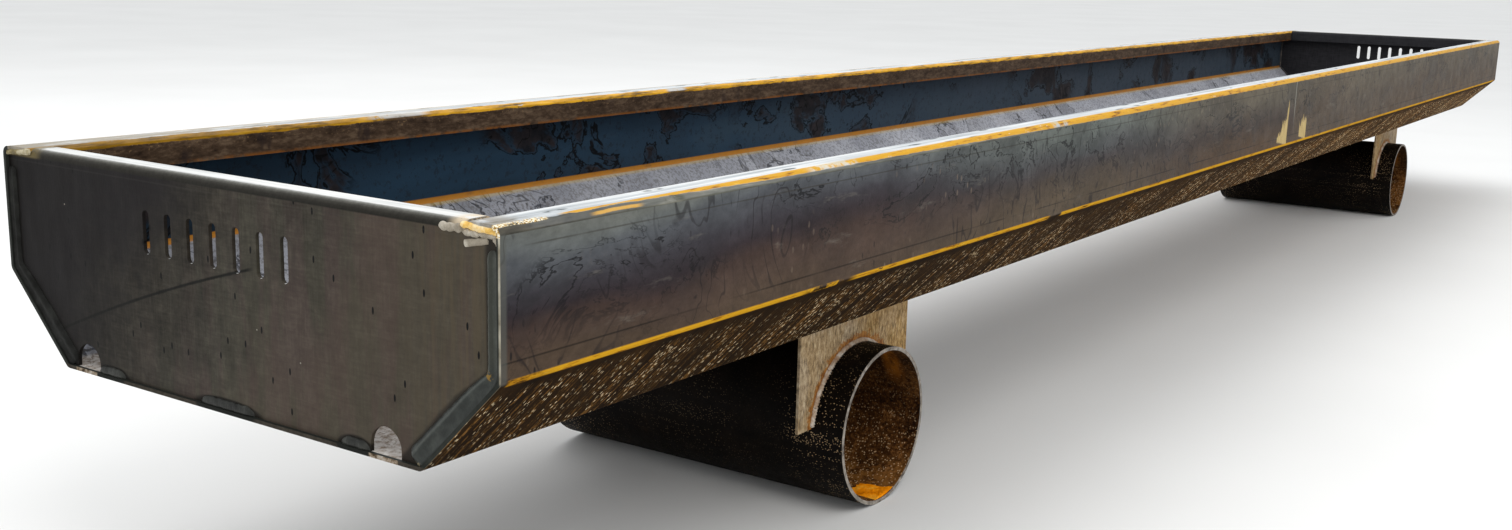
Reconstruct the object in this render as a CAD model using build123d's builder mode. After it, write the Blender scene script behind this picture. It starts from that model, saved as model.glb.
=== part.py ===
from build123d import *
import os
from math import asin, cos, degrees, radians, sin, sqrt, tan

# All-welded steel livestock feed bunk: a press-braked plate trough on two crosswise pipe feet.
# Frame: +X along the trough, +Y across it, +Z up, origin on the ground under the middle.
# "left" is the -X end, "front" is the -Y side.

# ---- Overall ----
LENGTH = 6096.0            # 20 ft
WIDTH = 914.4              # 36 in over the walls
FLOOR_Z = 349.25           # underside of the trough floor above the ground
SLOPE_RISE = 120.65        # height of the 45 degree lower wall
WALL_RISE = 168.275        # height of the upright wall
PLATE = 4.76               # 3/16 in plate
BEND_INNER = 6.0           # inside radius of every press-brake bend

# ---- Rim ----
RIM_SIDE = 55.0            # inward flange along the long sides
RIM_END = 43.0             # inward flange across the ends
LIP_DROP = 42.5            # turned-down lip, measured from the rim top
RIM_GAP = 0.4              # joint between the end flange and the side lips
LIP_COPE = 10.2            # the side lips are cut back this far from each end of the shell
FLANGE_COPE = 4.0          # and the side flanges this far, for the corner welds

# ---- End plates ----
END_INSET = 5.0            # the shell runs this far past the outside face of the end plate
NOTCH_WIDTH = 50.0
NOTCH_HEIGHT = 34.0
NOTCH_PLACES = (-293.0, 276.0)
SLOT_COUNT = 7
SLOT_PITCH = 44.0
SLOT_WIDTH = 13.0
SLOT_LENGTH = 56.0
SLOT_ROW_Y = 20.0
SLOT_ROW_Z = 556.0

# ---- Shell splice ----
SPLICE_X = -90.0
SPLICE_GAP = 3.0           # width of the flush butt weld

# ---- Feet ----
PIPE_RADIUS = 136.525      # 10-3/4 in pipe
PIPE_WALL = 6.35
PIPE_LENGTH = 647.7
FOOT_X = 1981.2            # foot centre from the middle of the trough, 42 in from each end
SADDLE_WIDTH = 355.6
SADDLE_PLATE = 4.76
SADDLE_BOTTOM = 152.4
SADDLE_FACE_Y = 263.5      # outside face of each saddle plate
NOTCH_CLEARANCE = 0.8      # root gap between the saddle notch and the pipe

# ---- Welds ----
FILLET_LEG = 6.0
FILLET_BULGE = 3.72        # the face of a fillet stands this far out along both legs
INNER_BEAD_CHAMFER = 4.2
END_BEAD_WIDTH = 14.0
END_BEAD_ROUND = 3.6
END_BEAD_TOP = 14.0        # the end bead stops this far below the underside of the rim
BOTTOM_BEADS = ((241.0, 58.0), (4.0, 104.0), (-226.0, 50.0))
BOTTOM_BEAD_HEIGHT = 11.0
BEAD_CROWN = 4.0
BEAD_CHAMFER = 2.4
RIM_BEAD_START = 364.0
RIM_BEAD_END = 446.0
RIM_BEAD_HEIGHT = 9.0
RIM_BEAD_CAP = 9.26        # depth of the bead over the cut-back end of the side flange
PATCH_SIZE = (37.0, 8.0)
PATCH_THICKNESS = 2.0
PATCH_CORNER = 3.4
PATCH_TILT = 10.0          # degrees, rising toward the front
PATCH_ROUND = 1.2
PATCH_AT = (-419.5, 616.6)

HALF_L = LENGTH / 2
HALF_W = WIDTH / 2
FLOOR_HALF = HALF_W - SLOPE_RISE
BEND_Z = FLOOR_Z + SLOPE_RISE
RIM_Z = BEND_Z + WALL_RISE
BEND_OUTER = BEND_INNER + PLATE
MITRE = tan(radians(22.5))
LIP_Y = HALF_W - RIM_SIDE
FLANGE_FLAT = RIM_SIDE - BEND_OUTER
LONG_EDGE = 50.0           # a weld's running edges are longer than this, its end edges shorter
END_FACE_X = HALF_L - END_INSET
PIPE_Z = PIPE_RADIUS


def wall_path(offset):
    """Corner points of the wall, slope and floor, moved inward from the outside face."""
    return [
        (-HALF_W + offset, BEND_Z + MITRE * offset),
        (-FLOOR_HALF + MITRE * offset, FLOOR_Z + offset),
        (FLOOR_HALF - MITRE * offset, FLOOR_Z + offset),
        (HALF_W - offset, BEND_Z + MITRE * offset),
    ]


def sheet_path(offset):
    """Corner points of the whole formed section, from the front lip to the rear lip."""
    lip = LIP_Y + offset
    top = RIM_Z - offset
    bottom = RIM_Z - LIP_DROP
    front = [(-lip, bottom), (-lip, top), (-HALF_W + offset, top)]
    rear = [(HALF_W - offset, top), (lip, top), (lip, bottom)]
    return front + wall_path(offset) + rear


def sheet_face():
    """Cross-section of the formed plate with its rounded bends, on the YZ plane."""
    with BuildSketch() as section:
        with BuildLine():
            outside = FilletPolyline(*sheet_path(0), radius=BEND_OUTER)
            inside = FilletPolyline(*sheet_path(PLATE), radius=BEND_INNER)
            Line(outside @ 0, inside @ 0)
            Line(outside @ 1, inside @ 1)
        make_face()
    return section.sketch


def end_outline():
    """Flat outline of an end plate: it fills the shell section up to the rim underside."""
    top = RIM_Z - PLATE
    with BuildSketch() as outline:
        with BuildLine():
            FilletPolyline(
                (-HALF_W + PLATE, top), *wall_path(PLATE), (HALF_W - PLATE, top),
                radius=BEND_INNER, close=True,
            )
        make_face()
    return outline.sketch


SHEET = sheet_face()
OUTLINE = end_outline()


def shell_part(label, end):
    """One length of the formed trough, its rims cut back at the end for the end plate and welds."""
    outer = end * HALF_L
    inner = SPLICE_X + end * SPLICE_GAP / 2
    with BuildPart() as piece:
        with BuildSketch(Plane.YZ.offset(min(outer, inner))):
            add(SHEET)
        extrude(amount=abs(outer - inner))
        for side in (-1, 1):
            with Locations((outer, side * (LIP_Y + BEND_OUTER / 2), RIM_Z - PLATE)):
                Box(
                    2 * LIP_COPE, BEND_OUTER, LIP_DROP,
                    align=(Align.CENTER, Align.CENTER, Align.MAX), mode=Mode.SUBTRACT,
                )
            with Locations((outer, side * (LIP_Y + FLANGE_FLAT / 2), RIM_Z)):
                Box(2 * FLANGE_COPE, FLANGE_FLAT, 2 * PLATE, mode=Mode.SUBTRACT)
    piece.part.label = label
    return piece.part


def end_part(label, end):
    """End plate with its rolled-in top flange, drain notches and slot row."""
    face = end * END_FACE_X
    inner = face - end * PLATE
    flange_end = face - end * RIM_END
    flange_inner = flange_end + end * PLATE
    crown = FLOOR_Z + PLATE + NOTCH_HEIGHT - NOTCH_WIDTH / 2
    flange_y = LIP_Y - RIM_GAP
    with BuildPart() as piece:
        with BuildSketch(Plane.YZ.offset(min(face, inner))):
            add(OUTLINE)
        extrude(amount=PLATE)
        # The middle of the plate rises past the side flanges and rolls inward.
        with Locations(((face + inner) / 2, 0, RIM_Z - LIP_DROP / 2)):
            Box(PLATE, 2 * flange_y, LIP_DROP, mode=Mode.SUBTRACT)
        with BuildSketch(Plane.XZ.offset(-flange_y)):
            with BuildLine():
                outside = FilletPolyline(
                    (face, RIM_Z - LIP_DROP), (face, RIM_Z),
                    (flange_end, RIM_Z), (flange_end, RIM_Z - LIP_DROP),
                    radius=BEND_OUTER,
                )
                inside = FilletPolyline(
                    (inner, RIM_Z - LIP_DROP), (inner, RIM_Z - PLATE),
                    (flange_inner, RIM_Z - PLATE), (flange_inner, RIM_Z - LIP_DROP),
                    radius=BEND_INNER,
                )
                Line(outside @ 0, inside @ 0)
                Line(outside @ 1, inside @ 1)
            make_face()
        extrude(amount=2 * flange_y)
        # Drain notches at the floor.
        cut_plane = Plane.YZ.offset(min(face, inner) - PLATE)
        with BuildSketch(cut_plane):
            for place in NOTCH_PLACES:
                with Locations((end * place, crown)):
                    Circle(NOTCH_WIDTH / 2)
                    Rectangle(NOTCH_WIDTH, NOTCH_HEIGHT, align=(Align.CENTER, Align.MAX))
        extrude(amount=3 * PLATE, mode=Mode.SUBTRACT)
        # Plain slots in place of the cut-out mark.
        with BuildSketch(cut_plane):
            with Locations((-end * SLOT_ROW_Y, SLOT_ROW_Z)):
                with GridLocations(SLOT_PITCH, SLOT_LENGTH, SLOT_COUNT, 1):
                    SlotOverall(SLOT_LENGTH, SLOT_WIDTH, rotation=90)
        extrude(amount=3 * PLATE, mode=Mode.SUBTRACT)
    piece.part.label = label
    return piece.part


def pipe_part(label, centre_x):
    """Open-ended pipe foot lying across the trough."""
    with BuildPart() as piece:
        with BuildSketch(Plane.XZ.offset(-PIPE_LENGTH / 2)):
            with Locations((centre_x, PIPE_Z)):
                Circle(PIPE_RADIUS)
                Circle(PIPE_RADIUS - PIPE_WALL, mode=Mode.SUBTRACT)
        extrude(amount=PIPE_LENGTH)
    piece.part.label = label
    return piece.part


def saddle_part(label, centre_x, side):
    """Upright plate notched over the pipe and butted to the underside of the floor."""
    height = FLOOR_Z - SADDLE_BOTTOM
    start = SADDLE_FACE_Y if side > 0 else -SADDLE_FACE_Y + SADDLE_PLATE
    with BuildPart() as piece:
        with BuildSketch(Plane.XZ.offset(-start)):
            with Locations((centre_x, SADDLE_BOTTOM)):
                Rectangle(SADDLE_WIDTH, height, align=(Align.CENTER, Align.MIN))
            with Locations((centre_x, PIPE_Z)):
                Circle(PIPE_RADIUS + NOTCH_CLEARANCE, mode=Mode.SUBTRACT)
        extrude(amount=SADDLE_PLATE)
    piece.part.label = label
    return piece.part


def pipe_weld_part(label, centre_x, side):
    """Fillet bead between a saddle plate's outside face and the pipe."""
    lift = SADDLE_BOTTOM - PIPE_Z
    start_angle = degrees(asin(lift / PIPE_RADIUS))
    root = PIPE_RADIUS
    tip = PIPE_RADIUS + FILLET_LEG
    face = side * SADDLE_FACE_Y
    out = side * (SADDLE_FACE_Y + FILLET_LEG)
    crown = (root + FILLET_BULGE, face + side * FILLET_BULGE)
    across = Plane(
        origin=(centre_x, 0, PIPE_Z),
        x_dir=(cos(radians(start_angle)), 0, sin(radians(start_angle))),
        z_dir=(sin(radians(start_angle)), 0, -cos(radians(start_angle))),
    )
    sweep_angle = 180 - 2 * start_angle
    with BuildPart() as piece:
        with BuildSketch(across) as bead:
            with BuildLine():
                Line((root, face), (tip, face))
                ThreePointArc((tip, face), crown, (root, out))
                Line((root, out), (root, face))
            make_face()
        revolve(axis=Axis((centre_x, 0, PIPE_Z), (0, 1, 0)), revolution_arc=-sweep_angle)
    piece.part.label = label
    return piece.part


def floor_weld_part(label, centre_x, side):
    """Fillet bead between a saddle plate's outside face and the trough floor."""
    face = side * SADDLE_FACE_Y
    out = side * (SADDLE_FACE_Y + FILLET_LEG)
    crown = (face + side * FILLET_BULGE, FLOOR_Z - FILLET_BULGE)
    with BuildPart() as piece:
        with BuildSketch(Plane.YZ.offset(centre_x - SADDLE_WIDTH / 2)):
            with BuildLine():
                Line((face, FLOOR_Z), (out, FLOOR_Z))
                ThreePointArc((out, FLOOR_Z), crown, (face, FLOOR_Z - FILLET_LEG))
                Line((face, FLOOR_Z - FILLET_LEG), (face, FLOOR_Z))
            make_face()
        extrude(amount=SADDLE_WIDTH)
    piece.part.label = label
    return piece.part


def bead_strip(side, width, top):
    """Band along the inside of one wall and slope, on the YZ plane."""
    inner = wall_path(PLATE)
    outer = wall_path(PLATE + width)
    wall_in, floor_in = (inner[0], inner[1]) if side < 0 else (inner[3], inner[2])
    wall_out, floor_out = (outer[0], outer[1]) if side < 0 else (outer[3], outer[2])
    points = [
        (wall_in[0], top), wall_in, floor_in, floor_out, wall_out, (wall_out[0], top),
    ]
    with BuildSketch() as band:
        with BuildLine():
            Polyline(*points, close=True)
        make_face()
    return band.sketch


def middle_edges(face):
    """The wall edge and the slope edge of a band's flat face that lie nearer the middle."""
    long_edges = [edge for edge in face.edges() if edge.length > LONG_EDGE]
    slope_edges = [edge for edge in long_edges if abs(edge.center().Y) < LIP_Y]
    wall_edges = [edge for edge in long_edges if abs(edge.center().Y) >= LIP_Y]
    return [
        min(slope_edges, key=lambda edge: abs(edge.center().Y)),
        min(wall_edges, key=lambda edge: abs(edge.center().Y)),
    ]


def end_weld_part(label, end, side, shell):
    """Wide bead on the outside of an end plate, filling the ledge beside the shell."""
    face = end * END_FACE_X
    top = RIM_Z - PLATE - END_BEAD_TOP
    start = face if end > 0 else face - BEAD_CROWN
    with BuildPart() as piece:
        with BuildSketch(Plane.YZ.offset(start)):
            add(bead_strip(side, END_BEAD_WIDTH, top))
        extrude(amount=BEAD_CROWN)
        outer_face = piece.faces().sort_by(Axis.X)[-1 if end > 0 else 0]
        fillet(middle_edges(outer_face), radius=END_BEAD_ROUND)
        add(shell, mode=Mode.SUBTRACT)
    piece.part.label = label
    return piece.part


def inner_weld_part(label, end, side, shell):
    """Small bead in the inside corner between an end plate and one wall."""
    face = end * (END_FACE_X - PLATE)
    top = RIM_Z - LIP_DROP - FILLET_LEG
    start = face - FILLET_LEG if end > 0 else face
    with BuildPart() as piece:
        with BuildSketch(Plane.YZ.offset(start)):
            add(bead_strip(side, FILLET_LEG, top))
        extrude(amount=FILLET_LEG)
        free_face = piece.faces().sort_by(Axis.X)[0 if end > 0 else -1]
        chamfer(middle_edges(free_face), length=INNER_BEAD_CHAMFER)
        add(shell, mode=Mode.SUBTRACT)
    piece.part.label = label
    return piece.part


def bottom_weld_part(label, end, centre_y, length):
    """Short bead along the foot of an end plate, standing on the end of the floor."""
    face = end * END_FACE_X
    start = face if end > 0 else face - BEAD_CROWN
    floor_top = FLOOR_Z + PLATE
    with BuildPart() as piece:
        with BuildSketch(Plane.YZ.offset(start)):
            with BuildLine():
                ThreePointArc(
                    (centre_y - length / 2, floor_top),
                    (centre_y, floor_top + BOTTOM_BEAD_HEIGHT),
                    (centre_y + length / 2, floor_top),
                )
                Line((centre_y + length / 2, floor_top), (centre_y - length / 2, floor_top))
            make_face()
        extrude(amount=BEAD_CROWN)
        outer_face = piece.faces().sort_by(Axis.X)[-1 if end > 0 else 0]
        arc_edge = outer_face.edges().sort_by(Axis.Z)[-1]
        chamfer(arc_edge, length=BEAD_CHAMFER)
    piece.part.label = label
    return piece.part


def rim_weld_part(label, end, side):
    """Bead over the cut-back end of a side flange and under it, where it meets the end plate."""
    face = end * END_FACE_X
    start = face if end > 0 else face - BEAD_CROWN
    span = RIM_BEAD_END - RIM_BEAD_START
    centre_y = side * (RIM_BEAD_END + RIM_BEAD_START) / 2
    centre_z = RIM_Z - PLATE - RIM_BEAD_HEIGHT / 2
    with BuildPart() as piece:
        with BuildSketch(Plane.YZ.offset(start)):
            with Locations((centre_y, centre_z)):
                Rectangle(span, RIM_BEAD_HEIGHT)
        extrude(amount=BEAD_CROWN)
        outer_face = piece.faces().sort_by(Axis.X)[-1 if end > 0 else 0]
        chamfer(outer_face.edges().sort_by(Axis.Z)[0], length=BEAD_CHAMFER)
        cap_x = end * (HALF_L - FLANGE_COPE / 2)
        with Locations((cap_x, side * (LIP_Y + FLANGE_FLAT / 2), RIM_Z)):
            Box(
                FLANGE_COPE, FLANGE_FLAT, RIM_BEAD_CAP,
                align=(Align.CENTER, Align.CENTER, Align.MAX),
            )
    piece.part.label = label
    return piece.part


def patch_weld_part(label, end, centre):
    """Short filled patch on an end plate just under the rim."""
    face = end * END_FACE_X
    start = face if end > 0 else face - PATCH_THICKNESS
    with BuildPart() as piece:
        with BuildSketch(Plane.YZ.offset(start)):
            with Locations(centre):
                RectangleRounded(*PATCH_SIZE, radius=PATCH_CORNER, rotation=-PATCH_TILT)
        extrude(amount=PATCH_THICKNESS)
        outer_face = piece.faces().sort_by(Axis.X)[-1 if end > 0 else 0]
        fillet(outer_face.edges(), radius=PATCH_ROUND)
    piece.part.label = label
    return piece.part


def splice_part(label):
    """Butt weld joining the two shell lengths, dressed flush on both faces."""
    with BuildPart() as piece:
        with BuildSketch(Plane.YZ.offset(SPLICE_X - SPLICE_GAP / 2)):
            add(SHEET)
        extrude(amount=SPLICE_GAP)
    piece.part.label = label
    return piece.part


ENDS = (("left", -1), ("right", 1))
SIDES = (("front", -1), ("rear", 1))

shells = {end: shell_part(f"trough_shell_{end_name}", end) for end_name, end in ENDS}
pieces = [*shells.values(), splice_part("splice_weld")]

for end_name, end in ENDS:
    pieces.append(end_part(f"end_plate_{end_name}", end))
    pieces.append(pipe_part(f"foot_pipe_{end_name}", end * FOOT_X))
    for number, (bead_y, bead_length) in enumerate(BOTTOM_BEADS, start=1):
        name = f"bottom_weld_{end_name}_{number}"
        pieces.append(bottom_weld_part(name, end, -end * bead_y, bead_length))
    for side_name, side in SIDES:
        place = f"{end_name}_{side_name}"
        pieces.append(saddle_part(f"saddle_{place}", end * FOOT_X, side))
        pieces.append(pipe_weld_part(f"pipe_weld_{place}", end * FOOT_X, side))
        pieces.append(floor_weld_part(f"floor_weld_{place}", end * FOOT_X, side))
        pieces.append(end_weld_part(f"end_weld_{place}", end, side, shells[end]))
        pieces.append(inner_weld_part(f"inner_weld_{place}", end, side, shells[end]))
        pieces.append(rim_weld_part(f"rim_weld_{place}", end, side))
pieces.append(patch_weld_part("patch_weld_left", -1, PATCH_AT))

os.makedirs("parts", exist_ok=True)
for piece in pieces:
    export_step(piece, f"parts/{piece.label}.step")
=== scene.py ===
import math

import bpy
from mathutils import Matrix, Vector, noise


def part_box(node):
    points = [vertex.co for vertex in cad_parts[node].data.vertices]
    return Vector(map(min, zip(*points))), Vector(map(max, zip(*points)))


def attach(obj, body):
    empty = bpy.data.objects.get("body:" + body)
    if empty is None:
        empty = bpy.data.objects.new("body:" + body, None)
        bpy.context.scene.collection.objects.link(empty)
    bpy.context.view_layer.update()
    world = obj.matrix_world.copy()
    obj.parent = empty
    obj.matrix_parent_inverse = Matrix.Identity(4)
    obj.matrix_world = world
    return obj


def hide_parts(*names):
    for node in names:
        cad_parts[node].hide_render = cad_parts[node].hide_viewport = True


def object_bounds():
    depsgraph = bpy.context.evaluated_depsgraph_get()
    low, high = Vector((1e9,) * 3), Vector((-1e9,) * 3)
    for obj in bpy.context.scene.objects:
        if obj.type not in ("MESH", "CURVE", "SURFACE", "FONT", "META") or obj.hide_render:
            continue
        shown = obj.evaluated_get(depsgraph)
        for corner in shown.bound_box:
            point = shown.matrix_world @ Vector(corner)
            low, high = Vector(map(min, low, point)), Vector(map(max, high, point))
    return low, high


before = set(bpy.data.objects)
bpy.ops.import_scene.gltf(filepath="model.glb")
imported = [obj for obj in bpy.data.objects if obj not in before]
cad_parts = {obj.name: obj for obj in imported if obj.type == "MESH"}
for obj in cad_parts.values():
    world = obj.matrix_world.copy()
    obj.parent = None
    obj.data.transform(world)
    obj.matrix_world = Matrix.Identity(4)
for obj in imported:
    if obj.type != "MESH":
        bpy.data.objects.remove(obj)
CAD_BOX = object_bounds()

# Looks for the livestock feed bunk: steel finishes, weld beads, floor, light and camera.
# Metres, in the frame of the CAD: +X along the trough, +Y across it, +Z up.
# "left" is the -X end, which faces the camera, and "front" is the -Y side.

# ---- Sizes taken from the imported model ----
LOW, HIGH = CAD_BOX
HALF_WIDTH = HIGH.y
RIM_Z = HIGH.z
FLOOR_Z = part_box("trough_shell_left")[0].z
SPLICE_X = (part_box("splice_weld")[0].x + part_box("splice_weld")[1].x) / 2
FACE_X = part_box("end_plate_right")[1].x      # outside face of either end plate
LIP_INSET = 0.05024                          # from the end plate's side to the lip of the rim
LIP_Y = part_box("end_plate_right")[1].y - LIP_INSET
PLATE = 0.00476
PIPE_WALL = 0.00635
SLOPE_RISE = 0.12065
BEND_Z = FLOOR_Z + SLOPE_RISE
FLOOR_HALF = HALF_WIDTH - SLOPE_RISE
WALL_RISE = RIM_Z - BEND_Z
LIP_DROP = 0.0425
BEND_RADIUS = 0.01076
MITRE = math.tan(math.radians(22.5))         # both bends of a side turn by 45 degrees
COS_45 = 0.7071
PATCH_TILT = math.radians(10)                # slope of the short patch weld under the rim
NOTCH_PLACES = (-0.293, 0.276)               # y of the drain notches at the right end, reversed at the left
NOTCH_HALF = 0.0235                          # half the width that shows bare under a notch

ENDS = {"left": -1, "right": 1}
SIDES = {"front": -1, "rear": 1}
CORNERS = [(f"{end}_{side}", ENDS[end], SIDES[side]) for end in ENDS for side in SIDES]


def pipe_circle(name):
    """Centre x, centre z and outside radius of a pipe foot."""
    low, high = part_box(name)
    return (low.x + high.x) / 2, (low.z + high.z) / 2, (high.z - low.z) / 2


# ---- Node materials ----
class Finish:
    """One procedural material, with short calls for masks and patterns in the row frame."""

    def __init__(self, name):
        self.material = bpy.data.materials.new(name)
        self.material.use_nodes = True
        self.tree = self.material.node_tree
        self.shader = self.tree.nodes["Principled BSDF"]
        source = self.node("ShaderNodeTexCoord")
        self.place = source.outputs["Object"]
        self.x, self.y, self.z = self.split(self.place)
        self.nx, self.ny, self.nz = self.split(source.outputs["Normal"])
        self.wide = self.math("ABSOLUTE", self.y)
        self.outward = self.math("MULTIPLY", self.ny, self.math("SIGN", self.y))

    def node(self, kind, **settings):
        made = self.tree.nodes.new(kind)
        for key, value in settings.items():
            setattr(made, key, value)
        return made

    def put(self, value, socket):
        """Links a socket, or sets a plain number or colour."""
        if isinstance(value, bpy.types.NodeSocket):
            self.tree.links.new(value, socket)
        elif isinstance(value, tuple) and len(value) == 3 and socket.type == "RGBA":
            socket.default_value = (*value, 1)
        else:
            socket.default_value = value

    def split(self, vector):
        made = self.node("ShaderNodeSeparateXYZ")
        self.put(vector, made.inputs[0])
        return made.outputs[0], made.outputs[1], made.outputs[2]

    def math(self, kind, *values):
        made = self.node("ShaderNodeMath", operation=kind)
        for value, socket in zip(values, made.inputs):
            self.put(value, socket)
        return made.outputs[0]

    def step(self, value, start, end):
        """0 before start and 1 past end, smooth between them; end may be the lower one."""
        made = self.node("ShaderNodeMapRange", interpolation_type="SMOOTHSTEP")
        for number, item in ((0, value), (1, start), (2, end)):
            self.put(item, made.inputs[number])
        return made.outputs[0]

    def plus(self, first, second):
        return self.math("ADD", first, second)

    def minus(self, first, second):
        return self.math("SUBTRACT", first, second)

    def length(self, first, second):
        """The length of the vector with these two parts."""
        return self.math("SQRT", self.plus(self.all(first, first), self.all(second, second)))

    def all(self, *masks):
        """The product of several masks or numbers."""
        result = masks[0]
        for mask in masks[1:]:
            result = self.math("MULTIPLY", result, mask)
        return result

    def any(self, *masks):
        """The strongest of several masks."""
        result = masks[0]
        for mask in masks[1:]:
            result = self.math("MAXIMUM", result, mask)
        return result

    def flip(self, mask):
        return self.math("SUBTRACT", 1.0, mask)

    def band(self, value, start, end, soft):
        """1 between start and end, with soft edges."""
        rising = self.step(value, start - soft, start + soft)
        falling = self.step(value, end + soft, end - soft)
        return self.all(rising, falling)

    def remap(self, value, low, high):
        """A 0 to 1 value stretched to low to high, without clamping."""
        return self.math("MULTIPLY_ADD", value, high - low, low)

    def fade(self, value, start, end, low, high):
        """Goes from low before start to high past end."""
        return self.remap(self.step(value, start, end), low, high)

    def move(self, stretch, seed):
        """The place scaled by so many repeats per metre along x, y and z."""
        made = self.node("ShaderNodeMapping")
        self.put(self.place, made.inputs["Vector"])
        made.inputs["Location"].default_value = (seed * 3.7, seed * 5.3, seed * 7.9)
        made.inputs["Scale"].default_value = stretch
        return made.outputs[0]

    def grain(self, stretch, detail=4.0, rough=0.55, warp=0.0, seed=0):
        """Fractal noise from 0 to 1. One number for stretch is the same along x, y and z."""
        if not isinstance(stretch, tuple):
            stretch = (stretch, stretch, stretch)
        made = self.node("ShaderNodeTexNoise")
        self.put(self.move(stretch, seed), made.inputs["Vector"])
        made.inputs["Scale"].default_value = 1.0
        made.inputs["Detail"].default_value = detail
        made.inputs["Roughness"].default_value = rough
        made.inputs["Distortion"].default_value = warp
        return made.outputs[0]

    def patch(self, start, end, *grain, **settings):
        """Where a noise is past start to end."""
        return self.step(self.grain(*grain, **settings), start, end)

    def sway(self, low, high, *grain, **settings):
        """A noise stretched to low to high."""
        return self.remap(self.grain(*grain, **settings), low, high)

    def flecks(self, stretch, size, share, seed=0, flat=None):
        """Scattered marks: size is their radius in cells, share the part of the cells with one.
        flat names the two axes of a flat face, such as "xz"; without it the marks fill space."""
        made = self.node("ShaderNodeTexVoronoi")
        spot = self.move(stretch, seed)
        if flat:
            made.voronoi_dimensions = "2D"
            axes = dict(zip("xyz", self.split(spot)))
            pair = self.node("ShaderNodeCombineXYZ")
            self.put(axes[flat[0]], pair.inputs[0])
            self.put(axes[flat[1]], pair.inputs[1])
            spot = pair.outputs[0]
        self.put(spot, made.inputs["Vector"])
        made.inputs["Scale"].default_value = 1.0
        pick = self.split(made.outputs["Color"])[0]
        inside = self.step(made.outputs["Distance"], size, size * 0.55)
        return self.all(inside, self.math("LESS_THAN", pick, share))

    def stains(self, stretch, level, line, seed=0):
        """Dried water marks: the outline and the inside of the low spots of a warped noise."""
        field = self.grain(stretch, 6.0, 0.58, 0.5, seed)
        far = self.math("ABSOLUTE", self.math("SUBTRACT", field, level))
        return self.step(far, line, line * 0.25), self.step(field, level, level - 0.05)

    def contours(self, stretch, count, thin, seed=0):
        """Thin wavy lines, like the height lines of a map, at so many levels of a noise."""
        field = self.grain(stretch, 3.0, 0.55, 0.6, seed)
        saw = self.math("FRACT", self.math("MULTIPLY", field, count))
        return self.step(self.math("ABSOLUTE", self.math("SUBTRACT", saw, 0.5)), thin, thin * 0.3)

    def ramp(self, value, *stops):
        made = self.node("ShaderNodeValToRGB")
        self.put(value, made.inputs[0])
        elements = made.color_ramp.elements
        for element, (spot, colour) in zip(elements, (stops[0], stops[-1])):
            element.position = spot
            element.color = (*colour, 1)
        for spot, colour in stops[1:-1]:
            elements.new(spot).color = (*colour, 1)
        return made.outputs[0]

    def mix(self, share, first, second, strength=None):
        """The first colour, covered by the second where share is 1, by strength of it at most."""
        if strength is not None:
            share = self.all(share, strength)
        made = self.node("ShaderNodeMix", data_type="RGBA")
        self.put(share, made.inputs[0])
        self.put(first, made.inputs[6])
        self.put(second, made.inputs[7])
        return made.outputs[2]

    def shade(self, colour, amount):
        """The colour times a grey amount."""
        made = self.node("ShaderNodeVectorMath", operation="SCALE")
        self.put(colour, made.inputs[0])
        self.put(amount, made.inputs["Scale"])
        return made.outputs[0]

    def choose(self, mask, first, second):
        """A plain number or mask that goes from first to second."""
        made = self.node("ShaderNodeMix", data_type="FLOAT")
        self.put(mask, made.inputs[0])
        self.put(first, made.inputs[2])
        self.put(second, made.inputs[3])
        return made.outputs[0]

    def done(self, colour, rough, height, depth, specular):
        """Connects the shader; depth is the height of the bumps in metres."""
        self.put(colour, self.shader.inputs["Base Color"])
        self.put(rough, self.shader.inputs["Roughness"])
        self.shader.inputs["Specular IOR Level"].default_value = specular
        bump = self.node("ShaderNodeBump")
        bump.inputs["Distance"].default_value = depth
        self.put(height, bump.inputs["Height"])
        self.put(bump.outputs[0], self.shader.inputs["Normal"])
        return self.material


YELLOW = (0.62, 0.32, 0.012)
PALE_YELLOW = (0.74, 0.47, 0.07)
ORANGE = (0.42, 0.18, 0.008)
BLACK_SCALE = (0.01, 0.009, 0.009)


def rust_yellow(f):
    """Yellow and orange oxide along the outside of a bend, in fine lengthwise streaks."""
    flake = f.grain((22, 190, 190), 4, 0.6, seed=3)
    return f.ramp(
        flake, (0.3, (0.12, 0.05, 0.005)), (0.37, ORANGE), (0.46, YELLOW), (0.62, YELLOW),
        (0.74, PALE_YELLOW),
    )


def rust_gaps(f):
    """Where the yellow oxide has worn off: two long worn stretches, and small nicks elsewhere."""
    along = f.minus(f.x, LOW.x)
    loose = f.patch(0.4, 0.52, 26, 4, 0.7, seed=71)
    worn = f.any(f.band(along, 0.6, 0.72, 0.02), f.band(along, 1.4, 1.46, 0.01))
    nick = f.patch(0.63, 0.68, (20, 90, 90), 4, 0.7, seed=72)
    return f.any(f.all(worn, loose), nick)


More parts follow.
